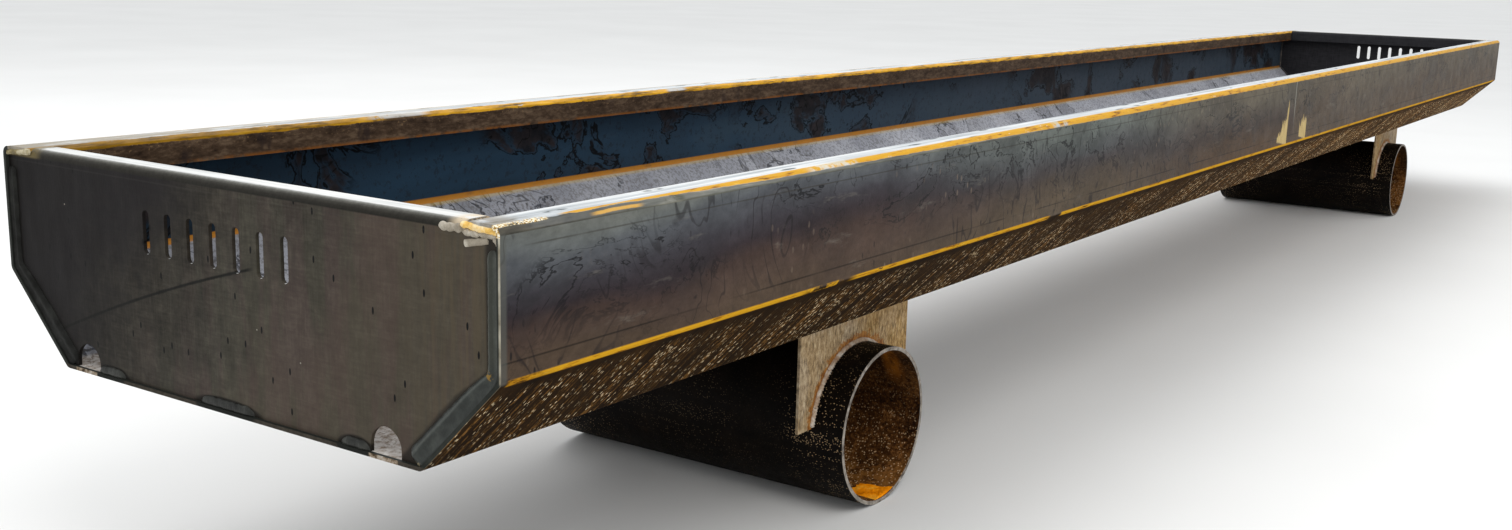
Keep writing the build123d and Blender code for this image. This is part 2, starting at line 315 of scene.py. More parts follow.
def outer_wall(f):
    """Mill scale on the upright walls: greenish grey above, slate in the middle, brown below; lighter
    farther along as painted reflection.
    """
    waver = f.grain((1.5, 1, 5), 3, 0.5, 0.3, seed=1)
    depth = f.math("DIVIDE", f.minus(RIM_Z, f.z), WALL_RISE)
    level = f.plus(depth, f.remap(waver, -0.5, 0.5))
    near = f.ramp(
        level, (0.0, (0.13, 0.136, 0.124)), (0.08, (0.116, 0.125, 0.123)), (0.18, (0.077, 0.083, 0.092)),
        (0.36, (0.038, 0.035, 0.042)), (0.52, (0.026, 0.019, 0.022)), (0.66, (0.045, 0.028, 0.023)),
        (0.82, (0.062, 0.04, 0.03)), (1.0, (0.066, 0.044, 0.029)),
    )
    far = f.ramp(
        level, (0.0, (0.119, 0.131, 0.115)), (0.22, (0.102, 0.115, 0.106)), (0.42, (0.066, 0.07, 0.072)),
        (0.58, (0.048, 0.042, 0.043)), (0.76, (0.058, 0.044, 0.034)), (1.0, (0.08, 0.058, 0.037)),
    )
    distant = f.ramp(
        level, (0.0, (0.108, 0.09, 0.062)), (0.22, (0.092, 0.077, 0.056)), (0.42, (0.062, 0.048, 0.037)),
        (0.58, (0.045, 0.031, 0.024)), (0.76, (0.057, 0.035, 0.021)), (1.0, (0.078, 0.044, 0.022)),
    )
    # Farther along, the wall is lighter in its middle and lower bands, as painted reflection, and browner,
    # as its own scale.
    colour = f.mix(f.step(f.x, LOW.x + 0.7, LOW.x + 1.5), near, far)
    colour = f.mix(f.step(f.x, LOW.x + 1.6, LOW.x + 2.4), colour, distant)
    beyond = f.ramp(
        level, (0.0, (0.108, 0.09, 0.063)), (0.5, (0.073, 0.053, 0.036)), (1.0, (0.077, 0.049, 0.028)),
    )
    colour = f.mix(f.step(f.x, SPLICE_X, SPLICE_X + 0.004), colour, beyond)
    colour = f.shade(colour, f.sway(0.35, 1.65, (9, 9, 14), 7, 0.66, 0.4, seed=2))
    colour = f.shade(colour, f.sway(0.62, 1.38, (55, 55, 90), 4, 0.65, seed=4))
    # Rolling marks: two faint lines along the plate.
    broken = f.patch(0.38, 0.52, 5, 3, seed=5)
    upper_line = f.all(f.band(f.z, RIM_Z - 0.0255, RIM_Z - 0.0238, 0.0008), broken)
    lower_line = f.all(f.band(f.z, BEND_Z + 0.0206, BEND_Z + 0.0226, 0.0008), broken)
    colour = f.mix(upper_line, colour, (0.03, 0.026, 0.018), 0.6)
    colour = f.mix(lower_line, colour, (0.01, 0.007, 0.005), 0.75)
    # Dried water marks at two heights of the same field, mostly on the upper half.
    outline, inside = f.stains((6.5, 5, 10), 0.47, 0.012, seed=6)
    ripple, _ = f.stains((6.5, 5, 10), 0.54, 0.007, seed=6)
    patch = f.patch(0.4, 0.5, (2.2, 2, 5), 2, seed=7)
    patch = f.all(patch, f.fade(f.z, BEND_Z + 0.02, BEND_Z + 0.1, 0.25, 1.0))
    colour = f.mix(f.all(inside, patch), colour, (0.018, 0.02, 0.021), 0.32)
    colour = f.mix(f.all(outline, patch), colour, (0.007, 0.007, 0.008), 0.85)
    colour = f.mix(f.all(ripple, patch), colour, (0.01, 0.01, 0.011), 0.55)
    # Thin wavy creases in the scale.
    crease = f.contours((7, 3, 4.5), 11, 0.085, seed=11)
    where = f.patch(0.43, 0.53, (2.3, 1, 3), 3, 0.6, seed=14)
    where = f.all(where, f.patch(0.4, 0.5, 16, 3, seed=16))
    colour = f.mix(f.all(crease, where), colour, (0.011, 0.009, 0.01), 0.62)
    # Short pale scuffs, small black pits and chalky smears.
    scuffs = f.flecks((80, 1, 44), 0.26, 0.22, 8, "xz")
    scuff_patch = f.patch(0.53, 0.66, (3, 3, 9), 3, seed=9)
    colour = f.mix(f.all(scuffs, scuff_patch), colour, (0.19, 0.145, 0.11), 0.42)
    pits = f.flecks((58, 1, 22), 0.13, 0.3, 10, "xz")
    pits = f.all(pits, f.patch(0.5, 0.6, (3.2, 1, 6), 2, seed=17))
    colour = f.mix(pits, colour, BLACK_SCALE, 0.85)
    smear = f.patch(0.6, 0.74, (7, 4, 30), 5, 0.7, seed=15)
    return f.mix(smear, colour, (0.21, 0.19, 0.16), 0.28)


def seam_grinding(f, colour):
    """The splice line, and straw coloured grinding strokes either side of it low on the front wall."""
    line = f.band(f.x, SPLICE_X - 0.0035, SPLICE_X + 0.0015, 0.0012)
    fade = f.all(line, f.step(f.z, BEND_Z + 0.03, BEND_Z + 0.1))
    colour = f.mix(fade, colour, (0.3, 0.29, 0.26), 0.75)
    stroke = f.grain((110, 1, 3), 3, 0.6, seed=12)
    fray = f.grain((520, 1, 70), 3, 0.7, seed=13)
    rise = f.minus(f.z, BEND_Z + 0.001)
    rise = f.plus(rise, f.remap(fray, -0.007, 0.007))
    marks = []
    for start, end, low, high in ((-0.142, -0.052, 0.03, 0.108), (0.06, 0.126, 0.058, 0.074)):
        share = f.step(f.x, SPLICE_X + start, SPLICE_X + end)
        top = f.all(f.remap(share, low, high), f.remap(stroke, 0.05, 1.6))
        foot = f.all(f.flip(share), 0.01)
        width = f.band(f.plus(f.x, f.remap(stroke, -0.012, 0.012)), SPLICE_X + start, SPLICE_X + end, 0.001)
        marks.append(
            f.all(
                width, f.step(f.minus(rise, top), 0.001, -0.001), f.step(f.minus(rise, foot), -0.001, 0.001),
            ),
        )
    mask = f.all(f.any(*marks), f.math("LESS_THAN", f.y, 0.0), f.step(fray, 0.28, 0.38))
    straw = f.ramp(
        f.grain((260, 1, 12), 3, 0.6, seed=18), (0.3, (0.28, 0.19, 0.062)), (0.5, (0.48, 0.35, 0.135)),
        (0.75, (0.62, 0.48, 0.24)),
    )
    return f.mix(mask, colour, straw)


def outer_slope(f):
    """Dark brown underside with pale flecks combed straight down the slope and painted glints; painted
    lighter toward the far end as a reflection.
    """
    colour = f.ramp(
        f.grain((34, 3, 3), 5, 0.6, seed=20), (0.3, (0.006, 0.0028, 0.0006)),
        (0.55, (0.019, 0.0085, 0.0015)), (0.8, (0.044, 0.021, 0.004)),
    )
    comb = f.patch(0.51, 0.58, (260, 5, 5), 2, 0.6, seed=21)
    dash = f.patch(0.45, 0.53, (300, 75, 75), 3, 0.65, seed=22)
    clear = f.step(f.z, BEND_Z - 0.012, BEND_Z - 0.03)
    clear = f.all(clear, f.remap(f.patch(0.36, 0.56, (9, 5, 5), 4, 0.6, seed=19), 0.25, 1.0))
    colour = f.mix(f.all(comb, dash, clear), colour, (0.205, 0.098, 0.024), 0.78)
    glint = f.flecks((270, 1, 140), 0.34, 0.38, 23, "xz")
    glint = f.all(glint, f.step(comb, 0.02, 0.3), clear, f.step(f.nz, -0.95, -0.85))
    colour = f.mix(glint, colour, (0.82, 0.66, 0.42), 0.95)
    # Painted reflection: a copy 2.5 times brighter toward the far end.
    return f.mix(f.step(f.x, LOW.x + 0.2, HIGH.x - 0.8), colour, f.shade(colour, 2.5))


def inner_wall(f):
    """Blue-black scale inside the walls, with big dried water marks."""
    colour = f.ramp(
        f.grain((1.6, 1, 6), 4, 0.5, 0.4, seed=30), (0.3, (0.012, 0.022, 0.034)),
        (0.55, (0.019, 0.045, 0.076)), (0.75, (0.033, 0.06, 0.084)),
    )
    colour = f.mix(
        f.step(f.x, LOW.x + 0.8, LOW.x + 3.6), colour,
        f.mix(f.grain((3, 2, 9), seed=35), (0.026, 0.044, 0.062), (0.056, 0.068, 0.086)),
    )
    outline, inside = f.stains((5.2, 4, 6.4), 0.47, 0.014, seed=31)
    patch = f.patch(0.36, 0.44, (2.6, 2, 1.8), 2, seed=32)
    brown = f.ramp(
        f.grain(24, 5, 0.65, seed=34), (0.35, (0.007, 0.006, 0.007)), (0.65, (0.034, 0.024, 0.022)),
    )
    colour = f.mix(f.all(inside, patch), colour, brown, 0.9)
    colour = f.mix(f.all(outline, patch), colour, (0.002, 0.002, 0.002), 0.95)
    pepper = f.patch(0.54, 0.64, 90, 4, 0.7, seed=36)
    colour = f.mix(pepper, colour, (0.014, 0.013, 0.014), 0.45)
    crinkle = f.contours((10, 4, 12), 7, 0.1, seed=33)
    crinkle = f.all(crinkle, inside, patch)
    return f.mix(crinkle, colour, (0.003, 0.003, 0.003), 0.8)


def inner_slope(f):
    """Lavender-grey scale on the inside slope and floor, with dark swirls; browner by the ends; painted
    lighter toward the far end as a reflection.
    """
    colour = f.ramp(
        f.grain(4, 6, 0.6, 0.8, seed=40), (0.25, (0.16, 0.166, 0.19)), (0.5, (0.23, 0.236, 0.262)),
        (0.8, (0.33, 0.335, 0.36)),
    )
    # Painted reflection: the slope and floor grow lighter toward the far end.
    colour = f.shade(colour, f.fade(f.x, LOW.x + 0.9, LOW.x + 2.8, 1.25, 1.9))
    outline, inside = f.stains((7.5, 7.5, 7.5), 0.47, 0.018, seed=41)
    patch = f.patch(0.42, 0.54, 2.6, 2, seed=42)
    colour = f.mix(f.all(inside, patch), colour, (0.07, 0.072, 0.084), 0.28)
    colour = f.mix(f.all(outline, patch), colour, (0.02, 0.022, 0.03), 0.85)
    swirl = f.contours((8, 8, 8), 9, 0.1, seed=44)
    near = f.all(f.step(f.x, LOW.x + 1.3, LOW.x + 0.9), f.patch(0.4, 0.5, 5, 3, seed=45))
    colour = f.mix(f.all(swirl, near), colour, (0.03, 0.032, 0.042), 0.8)
    speckle = f.patch(0.46, 0.6, 150, 4, 0.7, seed=43)
    colour = f.mix(speckle, colour, (0.085, 0.076, 0.066), 0.5)
    # The floor by either end is pale and veined with brown.
    end_gap = f.minus(HIGH.x, f.math("ABSOLUTE", f.x))
    floor = f.all(f.step(f.z, FLOOR_Z + 0.012, FLOOR_Z + 0.007), f.step(end_gap, 0.5, 0.25))
    veins = f.contours((30, 30, 30), 6, 0.13, seed=46)
    pale = f.ramp(
        f.grain(110, 5, 0.75, seed=47), (0.36, (0.16, 0.115, 0.08)), (0.48, (0.36, 0.325, 0.295)),
        (0.6, (0.48, 0.455, 0.43)),
    )
    pale = f.mix(veins, pale, (0.1, 0.066, 0.044), 0.6)
    return f.mix(floor, colour, pale)


def rim_top(f):
    """Bright rubbed steel on top of the rim, streaked along its length."""
    streak = f.grain((3, 95, 95), 5, 0.6, seed=50)
    cloud = f.grain((11, 26, 11), 5, 0.6, 0.5, seed=51)
    colour = f.ramp(streak, (0.3, (0.27, 0.3, 0.32)), (0.44, (0.5, 0.53, 0.55)), (0.62, (0.72, 0.74, 0.74)))
    colour = f.shade(colour, f.remap(cloud, 0.74, 1.16))
    blots = f.flecks((11, 48, 1), 0.26, 0.22, 52, "xy")
    blots = f.all(blots, f.patch(0.38, 0.52, (40, 90, 40), seed=53))
    return f.mix(blots, colour, (0.055, 0.075, 0.08), 0.85)


def lip_face(f):
    """Rusty brown turned-down lip, mottled, with faint streaks along it."""
    fine = f.grain((55, 60, 130), 5, 0.72, seed=60)
    blotch = f.grain((14, 12, 60), 6, 0.72, 0.3, seed=63)
    slow = f.grain((5, 2, 12), 5, 0.65, seed=61)
    colour = f.ramp(
        f.all(f.plus(fine, blotch), 0.5), (0.36, (0.022, 0.013, 0.008)), (0.5, (0.066, 0.041, 0.025)),
        (0.64, (0.145, 0.098, 0.062)),
    )
    colour = f.shade(colour, f.remap(slow, 0.5, 1.5))
    specks = f.patch(0.6, 0.68, (160, 160, 200), 3, 0.7, seed=65)
    specks = f.all(specks, f.step(f.z, RIM_Z - 0.03, RIM_Z - 0.012))
    colour = f.mix(specks, colour, (0.3, 0.19, 0.09), 0.55)
    dark = f.all(f.patch(0.56, 0.64, (18, 1, 8), 4, 0.6, seed=62), f.patch(0.48, 0.6, (3, 1, 2), 2, seed=64))
    return f.mix(dark, colour, (0.022, 0.015, 0.014), 0.65)


def shell_finish():
    """The formed trough: every face of the bent plate has its own weathering, with painted reflection making
    the far end lighter.
    """
    f = Finish("shell_steel")
    wobble = f.grain(24, 5, 0.65, seed=70)
    along = f.minus(f.x, LOW.x)
    end_gap = f.minus(HIGH.x, f.math("ABSOLUTE", f.x))
    inside = f.step(f.minus(f.nz, f.outward), -0.1, 0.1)
    below = f.step(f.z, BEND_Z + 0.002, BEND_Z - 0.002)
    outer = f.mix(below, seam_grinding(f, outer_wall(f)), outer_slope(f))
    inner = f.mix(below, inner_wall(f), inner_slope(f))
    scorched = (0.022, 0.024, 0.021)
    inner = f.mix(f.step(end_gap, 0.0056, 0.005), inner, scorched)
    colour = f.mix(inside, outer, inner)
    yellow = rust_yellow(f)
    edge = f.remap(wobble, 0.004, -0.004)
    # Top of the rim: grey and brown by the corner weld, with crusted edges.
    top = f.all(f.step(f.z, RIM_Z - 0.01, RIM_Z - 0.0075), f.step(f.nz, -0.4, -0.2))
    plate = rim_top(f)
    corner = f.all(f.step(along, 0.075, 0.025), f.step(wobble, 0.34, 0.5))
    plate = f.mix(corner, plate, (0.225, 0.195, 0.15), 0.75)
    tanned = f.all(
        f.step(along, 1.1, 0.15), f.step(f.y, -0.1, 0.1), f.patch(0.3, 0.56, (16, 60, 16), 5, 0.7, seed=76),
    )
    plate = f.mix(tanned, plate, (0.31, 0.262, 0.19), 0.85)
    colour = f.mix(top, colour, plate)
    colour = rim_bend(f, colour, yellow, edge, along)
    # Turned-down lip, with an orange foot, and yellow oxide round its bend.
    lip = f.all(
        f.step(f.wide, LIP_Y + 0.008, LIP_Y + 0.007), f.step(f.z, RIM_Z - 0.046, RIM_Z - 0.045),
        f.step(f.z, RIM_Z - 0.005, RIM_Z - 0.0062),
    )
    colour = f.mix(lip, colour, lip_face(f))
    lip_foot = f.all(lip, f.step(f.z, RIM_Z - 0.036, RIM_Z - LIP_DROP + 0.001), f.step(wobble, 0.38, 0.52))
    colour = f.mix(lip_foot, colour, (0.22, 0.075, 0.012), 0.7)
    kept = f.flip(rust_gaps(f))
    lip_bend = f.all(
        f.step(f.minus(f.wide, edge), LIP_Y + 0.0085, LIP_Y + 0.0065),
        f.step(f.plus(f.z, edge), RIM_Z - 0.0098, RIM_Z - 0.0082), f.step(f.outward, 0.3, 0.0),
    )
    flaked = f.grain((18, 150, 150), 4, 0.65, seed=66)
    lip_yellow = f.ramp(
        flaked, (0.32, (0.075, 0.038, 0.004)), (0.44, (0.33, 0.165, 0.006)), (0.58, (0.52, 0.265, 0.009)),
        (0.76, (0.62, 0.36, 0.03)),
    )
    lip_yellow = f.shade(lip_yellow, f.fade(along, 0.05, 1.1, 0.55, 1.5))
    colour = f.mix(f.all(lip_bend, f.remap(kept, 0.1, 0.92)), colour, lip_yellow)
    # Bend between wall and slope, outside and inside.
    bend = f.band(f.z, BEND_Z - 0.0052, BEND_Z + 0.0026, 0.0012)
    outside_bend = f.all(bend, f.flip(inside), kept, f.step(end_gap, 0.009, 0.015))
    bend_yellow = f.mix(
        f.step(end_gap, 0.1, 0.03), yellow,
        f.ramp(
            f.grain((50, 160, 160), 4, 0.7, seed=67), (0.36, (0.07, 0.03, 0.004)), (0.5, (0.4, 0.18, 0.006)),
            (0.66, (0.56, 0.29, 0.012)),
        ),
    )
    colour = f.mix(outside_bend, colour, bend_yellow, 0.95)
    inside_bend = f.all(
        f.band(f.z, BEND_Z - 0.002, BEND_Z + 0.007, 0.0012), inside, f.step(end_gap, 0.006, 0.009),
    )
    inside_bend = f.all(inside_bend, f.fade(wobble, 0.3, 0.5, 0.7, 0.95))
    colour = f.mix(inside_bend, colour, (0.42, 0.175, 0.022))
    # Plate edges at the ends: a rubbed bright corner beside the walls, weld metal elsewhere.
    strip = f.all(
        f.step(end_gap, 0.012, 0.007), f.flip(inside), f.step(f.z, BEND_Z - 0.004, BEND_Z), f.flip(top),
    )
    colour = f.mix(strip, colour, (0.085, 0.088, 0.078), 0.6)
    arris = f.all(f.step(end_gap, 0.0024, 0.001), f.flip(inside), below)
    colour = f.mix(arris, colour, (0.22, 0.18, 0.12), 0.6)
    grit = f.grain((60, 60, 45), seed=73)
    rubbed = f.ramp(grit, (0.3, (0.16, 0.14, 0.1)), (0.7, (0.44, 0.41, 0.33)))
    fused = f.ramp(grit, (0.3, (0.018, 0.02, 0.017)), (0.7, (0.034, 0.037, 0.033)))
    upright = f.step(f.z, BEND_Z - 0.003, BEND_Z + 0.003)
    bright = f.all(upright, f.step(f.wide, HALF_WIDTH - 0.003, HALF_WIDTH - 0.0018), f.step(f.y, 0.1, -0.1))
    cut = f.mix(bright, fused, rubbed)
    cut = f.mix(f.step(f.z, FLOOR_Z + PLATE + 0.001, FLOOR_Z + PLATE), cut, floor_edge(f))
    cut = f.mix(f.all(f.step(f.z, RIM_Z - 0.0135, RIM_Z - 0.0115), f.step(f.y, 0.1, -0.1)), cut, crumbs(f))
    colour = f.mix(f.step(end_gap, 0.0009, 0.0002), colour, cut)
    rough = f.sway(0.34, 0.6, 30, seed=74)
    rough = f.choose(outside_bend, rough, 0.85)
    rough = f.choose(f.all(below, f.flip(inside)), rough, 0.9)
    height = f.any(f.grain(240, 4, 0.6, seed=75), f.all(outside_bend, 0.9))
    return f.done(colour, rough, height, 0.00025, specular=0.05)


def rim_bend(f, colour, yellow, edge, along):
    """The outer bend of the rim: crusted by the corner, then bare, then with a yellow upper half."""
    edge = f.all(edge, 0.4)
    reach = f.plus(f.wide, edge)
    drop = f.minus(RIM_Z, f.plus(f.z, edge))
    bent = f.all(f.step(reach, HALF_WIDTH - 0.0116, HALF_WIDTH - 0.0102), f.flip(inside_of(f)))
    limit = f.plus(f.fade(along, 0.2, 0.55, 0.001, 0.0048), f.fade(along, 0.55, 1.8, 0.0, 0.0044))
    upper = f.all(bent, f.step(f.minus(drop, limit), 0.0004, -0.0004))
    below_yellow = f.all(
        f.flip(f.step(f.minus(drop, limit), 0.0004, -0.0004)), f.step(f.z, RIM_Z - 0.0108, RIM_Z - 0.0096),
        bent,
    )
    olive = f.ramp(
        f.grain((12, 150, 150), 4, 0.6, seed=55), (0.35, (0.04, 0.038, 0.026)), (0.55, (0.105, 0.104, 0.08)),
        (0.75, (0.28, 0.27, 0.22)),
    )
    olive = f.mix(
        f.step(along, 0.3, 0.1), olive,
        f.ramp(
            f.grain((40, 150, 150), 4, 0.65, seed=59), (0.35, (0.018, 0.016, 0.01)),
            (0.65, (0.06, 0.054, 0.038)),
        ),
    )
    low_patch = f.all(f.band(f.plus(along, edge), 0.15, 0.232, 0.01), f.band(drop, 0.0036, 0.007, 0.0006))
    olive = f.mix(low_patch, olive, yellow)
    colour = f.mix(below_yellow, colour, olive, 0.85)
    pale = f.all(
        f.step(reach, HALF_WIDTH - 0.016, HALF_WIDTH - 0.01), f.step(f.nz, 0.5, 0.8),
        f.step(along, 0.25, 0.8),
    )
    colour = f.mix(pale, colour, (0.62, 0.42, 0.085), 0.5)
    kept = f.all(f.flip(rust_gaps(f)), f.step(along, 0.095, 0.115))
    colour = f.mix(f.all(upper, f.remap(kept, 0.0, 0.97)), colour, yellow)
    # Speckled gold and white crust on the first stretch.
    ragged = f.plus(along, f.sway(-0.02, 0.02, 60, 3, seed=57))
    loose = f.patch(0.42, 0.5, 150, 3, 0.7, seed=58)
    crust = f.all(
        f.step(ragged, 0.084, 0.074), bent, f.step(drop, 0.003, 0.002),
        f.any(loose, f.step(along, 0.022, 0.014)),
    )
    return f.mix(crust, colour, crumbs(f), 0.95)


def crumbs(f):
    """Gold and white weld spatter packed into a crust."""
    return f.ramp(
        f.grain(420, 3, 0.7, seed=56), (0.36, (0.075, 0.042, 0.01)), (0.44, (0.44, 0.24, 0.045)),
        (0.5, (0.72, 0.56, 0.26)), (0.56, (0.88, 0.84, 0.72)),
    )


def floor_edge(f):
    """The sawn end of the floor: toned like the end plate, sooty by the left end's stitch welds, and
    bare under the notches."""
    grit = f.grain(120, 4, 0.7, seed=48)
    colour = f.ramp(grit, (0.36, (0.03, 0.026, 0.02)), (0.62, (0.056, 0.048, 0.038)))
    colour = f.mix(stitch_halo(f, 1.35, 1.05), colour, (0.014, 0.015, 0.013))
    end_sign = f.all(f.y, f.math("SIGN", f.x))
    gaps = f.any(*[f.band(end_sign, y - NOTCH_HALF, y + NOTCH_HALF, 0.001) for y in NOTCH_PLACES])
    bare = f.ramp(grit, (0.4, (0.05, 0.032, 0.018)), (0.52, (0.26, 0.2, 0.14)), (0.64, (0.42, 0.38, 0.33)))
    return f.mix(gaps, colour, bare)


def inside_of(f):
    """1 on faces that look toward the middle of the trough."""
    return f.step(f.outward, -0.2, -0.5)


def end_finish():
    """End plates: dark brown-grey scale with a fine weave and painted shade toward the upper rear, a bend
    painted from dark to bright for its light and shade, and a bright flange.
    """
    f = Finish("end_steel")
    weave = f.plus(f.grain((60, 330, 26), 4, 0.65, seed=80), f.grain((60, 24, 300), 4, 0.65, seed=77))
    fine = f.all(weave, 0.5)
    mottle = f.grain(46, 6, 0.72, 0.4, seed=79)
    broad = f.grain((4, 9, 2.2), 4, 0.55, seed=81)
    colour = f.ramp(
        f.all(f.plus(fine, mottle), 0.5), (0.38, (0.019, 0.016, 0.012)), (0.5, (0.041, 0.035, 0.026)),
        (0.62, (0.072, 0.062, 0.047)),
    )
    colour = f.shade(colour, f.remap(broad, 0.72, 1.28))
    # Painted shade: darker and purplish toward the upper rear corner, darker toward the rear edge, lighter
    # low on the front half. Mauve and warmer low on the front half.
    slant = f.minus(f.all(f.y, -0.9), f.minus(f.z, 0.5))
    slant = f.plus(slant, f.sway(-0.18, 0.18, 5, 3, seed=82))
    colour = f.shade(colour, f.fade(slant, -0.34, 0.22, 0.15, 1.24))
    tint = f.mix(
        f.patch(0.42, 0.58, (6, 22, 3.5), 4, 0.6, seed=92), (0.066, 0.042, 0.042), (0.044, 0.046, 0.033),
    )
    colour = f.mix(f.step(slant, -0.1, 0.15), colour, tint, 0.42)
    colour = f.mix(f.step(slant, -0.05, -0.3), colour, (0.021, 0.017, 0.02), 0.35)
    colour = f.shade(colour, f.fade(f.y, 0.5, 0.02, 0.55, 1.0))
    colour = f.mix(f.step(slant, 0.02, 0.22), colour, (0.078, 0.057, 0.038), 0.34)
    warm = f.all(f.step(f.y, -0.28, -0.4), f.patch(0.42, 0.62, (30, 120, 7), seed=83))
    colour = f.mix(warm, colour, (0.08, 0.06, 0.036), 0.5)
    ticks = f.step(f.flecks((1, 62, 23), 0.125, 0.13, 84, "yz"), 0.1, 0.6)
    colour = f.mix(ticks, colour, (0.002, 0.002, 0.002))
    spark = f.flecks((1, 26, 26), 0.034, 0.03, 85, "yz")
    colour = f.mix(spark, colour, (0.34, 0.32, 0.27), 0.7)
    colour = long_scratch(f, colour)
    # Painted shade beside the wide beads.
    colour = f.mix(painted_bead_shade(f), colour, (0.007, 0.006, 0.005), 0.75)
    colour = f.mix(stitch_halo(f), colour, (0.006, 0.005, 0.004), 0.85)
    # Painted light and shade on the rolled bend: dark low down, brightening toward the flange.
    roll = f.math("DIVIDE", f.minus(f.z, RIM_Z - BEND_RADIUS), BEND_RADIUS)
    bend = f.ramp(
        roll, (0.0, (0.013, 0.012, 0.009)), (0.35, (0.021, 0.019, 0.015)), (0.62, (0.036, 0.034, 0.028)),
        (0.8, (0.082, 0.079, 0.069)), (0.92, (0.18, 0.18, 0.165)), (1.0, (0.46, 0.46, 0.45)),
    )
    bend = f.shade(bend, f.sway(0.35, 1.65, (190, 150, 190), 4, 0.7, seed=86))
    colour = f.mix(f.step(f.z, RIM_Z - 0.0125, RIM_Z - 0.0105), colour, bend)
    faint = f.band(f.z, RIM_Z - 0.0185, RIM_Z - 0.017, 0.0008)
    colour = f.mix(faint, colour, (0.07, 0.068, 0.058), 0.12)
    colour = f.mix(f.step(f.nz, 0.975, 0.995), colour, rim_top_cross(f))
    bloom = f.all(f.step(f.wide, 0.372, 0.394), f.step(f.z, RIM_Z - 0.014, RIM_Z - 0.01))
    bloom = f.all(bloom, f.step(mottle, 0.38, 0.5))
    bloom_tone = f.mix(f.step(f.y, -0.1, 0.1), (0.66, 0.54, 0.38), (0.15, 0.115, 0.05))
    colour = f.mix(bloom, colour, bloom_tone, 0.8)
    # The inside face and the turned-down lip are darker.
    facing_in = f.step(f.all(f.nx, f.math("SIGN", f.x)), -0.4, -0.7)
    dark = f.ramp(fine, (0.3, (0.008, 0.008, 0.01)), (0.7, (0.034, 0.034, 0.038)))
    colour = f.mix(facing_in, colour, dark)
    rough = f.sway(0.42, 0.7, (40, 40, 12), seed=88)
    height = f.grain((260, 260, 120), 4, 0.6, seed=89)
    return f.done(colour, rough, height, 0.0002, specular=0.1)


def edge_gap(f):
    """Distance from the outside of the wall or slope, whichever is nearer."""
    slope_gap = f.minus(f.minus(f.z, f.wide), FLOOR_Z - FLOOR_HALF)
    return f.math("MINIMUM", f.all(slope_gap, COS_45), f.minus(HALF_WIDTH, f.wide))


def painted_bead_shade(f):
    """Painted shade in a band beside the wide beads of an end plate."""
    gap = f.plus(edge_gap(f), f.sway(-0.002, 0.002, 20, 3, seed=78))
    gap = f.minus(gap, f.fade(f.z, BEND_Z + 0.01, BEND_Z - 0.03, 0.0, 0.0078))
    return f.step(gap, 0.0275, 0.0215)


def stitch_halo(f, far=1.9, near=1.2):
    """A dark outline round each stitch weld along the foot of the left end plate."""
    rings = []
    for name in sorted(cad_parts):
        if name.startswith("bottom_weld_left"):
            low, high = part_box(name)
            u = f.math("DIVIDE", f.minus(f.y, (low.y + high.y) / 2), (high.y - low.y) / 2)
            v = f.math("DIVIDE", f.minus(f.z, low.z), high.z - low.z)
            reach = f.plus(f.all(u, u), f.all(v, v))
            rings.append(f.step(reach, far, near))
    return f.all(f.any(*rings), f.math("LESS_THAN", f.x, 0.0))


def rim_top_cross(f):
    """Bright rubbed steel, streaked across the trough."""
    streak = f.grain((95, 5, 95), 5, 0.6, seed=90)
    colour = f.ramp(streak, (0.28, (0.48, 0.49, 0.49)), (0.5, (0.68, 0.69, 0.68)), (0.72, (0.8, 0.79, 0.76)))
    return f.shade(colour, f.sway(0.82, 1.14, (18, 12, 18), seed=91))


def long_scratch(f, colour):
    """A long shallow curved scratch across the near end plate."""
    across = f.minus(0.358, f.y)
    bow = f.all(across, across, -0.18)
    line = f.plus(f.math("MULTIPLY_ADD", across, 0.415, 0.397), bow)
    off = f.math("ABSOLUTE", f.minus(f.z, line))
    jitter = f.sway(0.001, 0.0056, 60, 3, 0.7, seed=87)
    near_end = f.math("LESS_THAN", f.x, 0.0)
    mask = f.all(f.step(off, jitter, 0.0006), f.band(f.y, -0.05, 0.368, 0.01), near_end)
    return f.mix(mask, colour, (0.003, 0.003, 0.002), 0.95)


